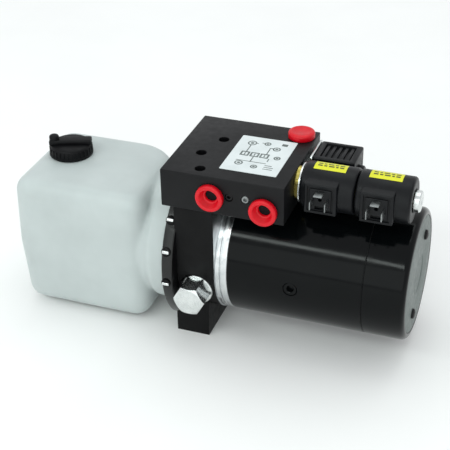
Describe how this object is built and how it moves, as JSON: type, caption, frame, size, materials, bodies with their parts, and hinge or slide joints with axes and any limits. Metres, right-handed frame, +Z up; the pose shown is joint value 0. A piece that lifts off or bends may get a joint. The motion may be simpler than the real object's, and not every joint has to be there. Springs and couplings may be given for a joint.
{
  "type": "hydraulic power unit",
  "caption": "Hydraulic power unit: translucent oil tank, black centre manifold on a foot, black cylindrical DC motor, and a valve block with solenoid coils and red port plugs.",
  "frame": {"origin": "middle of the foot's flat underside", "axes": "+X along the pump and motor axis, from the tank towards the motor's end face; -Y is the front, with the two work ports and the coils' plug sockets; +Z is up, away from the foot"},
  "size_m": [0.3568, 0.1509, 0.1745],
  "materials": {
    "tank_plastic": "translucent natural polyethylene, blow moulded, satin",
    "cap_plastic": "moulded black nylon, satin",
    "rubber": "black nitrile rubber, matt",
    "black_anodised": "black anodised aluminium, satin",
    "zinc": "zinc plated steel, bright",
    "machined_aluminium": "bright turned aluminium",
    "steel": "ground steel",
    "black_paint": "gloss black enamel on steel, with a grey end face",
    "cast_iron": "dark iron, as cast or laminated",
    "copper": "turned copper",
    "ferrite": "sintered ferrite, matt",
    "carbon": "pressed carbon, matt",
    "red_plastic": "red polyethylene, half gloss",
    "coil_plastic": "glass-filled black nylon, satin",
    "brass": "plain turned brass",
    "label_paper": "white printed film, satin"
  },
  "bodies": {
    "unit": {"block_label": "label_paper", "block_screw_1": "steel", "block_screw_2": "steel", "block_screw_3": "steel", "brush_holder": "coil_plastic", "coil_1": "coil_plastic", "coil_2": "coil_plastic", "coil_washer": "zinc", "drive_bracket": "machined_aluminium", "end_screw_1": "zinc", "end_screw_2": "zinc", "front_bearing": "steel", "front_coil_nut": "zinc", "front_valve_body": "brass", "hex_plug": "zinc", "manifold_body": "black_anodised", "motor_end_cover": "black_paint", "motor_shell": "black_paint", "pilot_plug_1": "zinc", "pilot_plug_2": "zinc", "pole_1": "ferrite", "pole_2": "ferrite", "pole_screw_1": "black_paint", "pole_screw_2": "black_paint", "pump_cover": "cast_iron", "pump_housing": "machined_aluminium", "rear_coil": "coil_plastic", "rear_coil_nut": "coil_plastic", "rear_coil_plate": "zinc", "rear_valve_body": "zinc", "rim_screw_1": "zinc", "rim_screw_2": "zinc", "rim_screw_3": "zinc", "rim_screw_4": "zinc", "rim_screw_5": "zinc", "rim_screw_6": "zinc", "suction_strainer": "steel", "suction_tube": "cap_plastic", "tank_seal": "rubber", "tank_shell": "tank_plastic", "valve_block": "black_anodised"},
    "rotor": {"rotor_shaft": "steel", "armature_core": "cast_iron", "commutator": "copper", "coupling": "steel", "drive_gear": "steel"},
    "idler": {"driven_gear": "steel"},
    "cap_gasket": {"cap_gasket": "rubber"},
    "filler_cap": {"filler_cap": "cap_plastic"},
    "spool": {"front_valve_spool": "steel"},
    "plunger": {"rear_valve_plunger": "steel"},
    "relief_poppet": {"relief_poppet": "steel"},
    "plug_left": {"port_plug_left": "red_plastic"},
    "plug_right": {"port_plug_right": "red_plastic"},
    "plug_top": {"port_plug_top": "red_plastic"},
    "brush_front": {"brush_1": "carbon"},
    "brush_rear": {"brush_2": "carbon"}
  },
  "joints": [
    {"name": "rotor_spin", "type": "hinge", "parent": "unit", "child": "rotor", "pos_m": [0, 0, 0.072], "axis": [1, 0, 0], "continuous": true},
    {"name": "idler_spin", "type": "hinge", "parent": "unit", "child": "idler", "pos_m": [0, 0, 0.048], "axis": [1, 0, 0], "continuous": true},
    {"name": "cap_lift", "type": "slide", "parent": "unit", "child": "cap_gasket", "axis": [0, 0, 1], "range_m": [0, 0.06]},
    {"name": "cap_turn", "type": "hinge", "parent": "cap_gasket", "child": "filler_cap", "pos_m": [-0.136, 0.008, 0.14], "axis": [0, 0, 1], "continuous": true},
    {"name": "spool_shift", "type": "slide", "parent": "unit", "child": "spool", "axis": [1, 0, 0], "range_m": [-0.003, 0.003], "stiffness_N_per_m": 2000},
    {"name": "plunger_shift", "type": "slide", "parent": "unit", "child": "plunger", "axis": [1, 0, 0], "range_m": [0, 0.0025], "stiffness_N_per_m": 1500},
    {"name": "relief_lift", "type": "slide", "parent": "unit", "child": "relief_poppet", "axis": [0, -1, 0], "range_m": [0, 0.0015], "stiffness_N_per_m": 6000},
    {"name": "plug_left_pull", "type": "slide", "parent": "unit", "child": "plug_left", "axis": [0, -1, 0], "range_m": [0, 0.03]},
    {"name": "plug_right_pull", "type": "slide", "parent": "unit", "child": "plug_right", "axis": [0, -1, 0], "range_m": [0, 0.03]},
    {"name": "plug_top_pull", "type": "slide", "parent": "unit", "child": "plug_top", "axis": [0, 0, 1], "range_m": [0, 0.03]},
    {"name": "brush_front_wear", "type": "slide", "parent": "unit", "child": "brush_front", "axis": [0, -1, 0], "range_m": [0, 0.004], "stiffness_N_per_m": 500},
    {"name": "brush_rear_wear", "type": "slide", "parent": "unit", "child": "brush_rear", "axis": [0, 1, 0], "range_m": [0, 0.004], "stiffness_N_per_m": 500}
  ],
  "couplings": [
    {"joint": "idler_spin", "follows": "rotor_spin", "ratio": -1}
  ]
}
